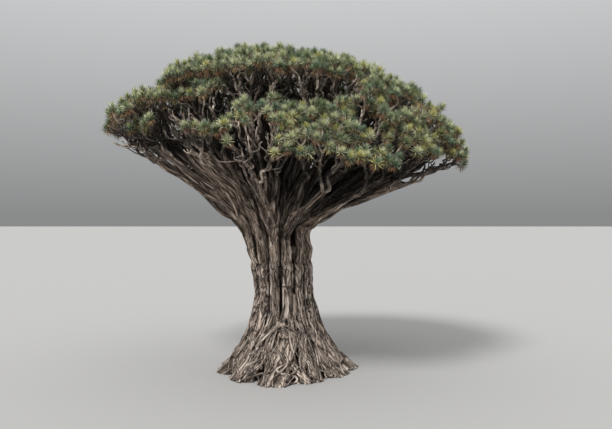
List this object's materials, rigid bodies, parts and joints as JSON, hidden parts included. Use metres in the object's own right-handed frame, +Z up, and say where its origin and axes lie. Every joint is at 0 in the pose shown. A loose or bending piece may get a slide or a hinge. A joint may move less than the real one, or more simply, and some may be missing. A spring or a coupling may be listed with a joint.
{
  "type": "dragon blood tree",
  "caption": "Ancient dragon tree with a flared, fluted trunk, a funnel of limbs and an umbrella crown of sword-leaved rosettes on forking twigs.",
  "frame": {"origin": "middle of the flat cut under the trunk at ground level", "axes": "+Z up, -Y towards the front of the pictured tree, +X to its right"},
  "size_m": [18.7442, 16.6922, 16.4483],
  "materials": {
    "bark": "grey-brown fibrous bark in fused strands",
    "foliage": "stiff glaucous leaves, straw and rust coloured as they age"
  },
  "bodies": {
    "root": {"bough_inner_01": "bark", "bough_inner_02": "bark", "bough_inner_03": "bark", "bough_inner_04": "bark", "bough_inner_05": "bark", "bough_middle_01": "bark", "bough_middle_02": "bark", "bough_middle_03": "bark", "bough_middle_04": "bark", "bough_middle_05": "bark", "bough_middle_06": "bark", "bough_middle_07": "bark", "bough_middle_08": "bark", "bough_middle_09": "bark", "bough_middle_10": "bark", "bough_outer_01": "bark", "bough_outer_02": "bark", "bough_outer_03": "bark", "bough_outer_04": "bark", "bough_outer_05": "bark", "bough_outer_06": "bark", "bough_outer_07": "bark", "bough_outer_08": "bark", "bough_outer_09": "bark", "bough_outer_10": "bark", "bough_outer_11": "bark", "bough_outer_12": "bark", "bough_outer_13": "bark", "bough_top": "bark", "foliage_inner_01": "foliage", "foliage_inner_02": "foliage", "foliage_inner_03": "foliage", "foliage_inner_04": "foliage", "foliage_inner_05": "foliage", "foliage_middle_01": "foliage", "foliage_middle_02": "foliage", "foliage_middle_03": "foliage", "foliage_middle_04": "foliage", "foliage_middle_05": "foliage", "foliage_middle_06": "foliage", "foliage_middle_07": "foliage", "foliage_middle_08": "foliage", "foliage_middle_09": "foliage", "foliage_middle_10": "foliage", "foliage_outer_01": "foliage", "foliage_outer_02": "foliage", "foliage_outer_03": "foliage", "foliage_outer_04": "foliage", "foliage_outer_05": "foliage", "foliage_outer_06": "foliage", "foliage_outer_07": "foliage", "foliage_outer_08": "foliage", "foliage_outer_09": "foliage", "foliage_outer_10": "foliage", "foliage_outer_11": "foliage", "foliage_outer_12": "foliage", "foliage_outer_13": "foliage", "foliage_top": "foliage", "trunk": "bark"}
  },
  "joints": []
}
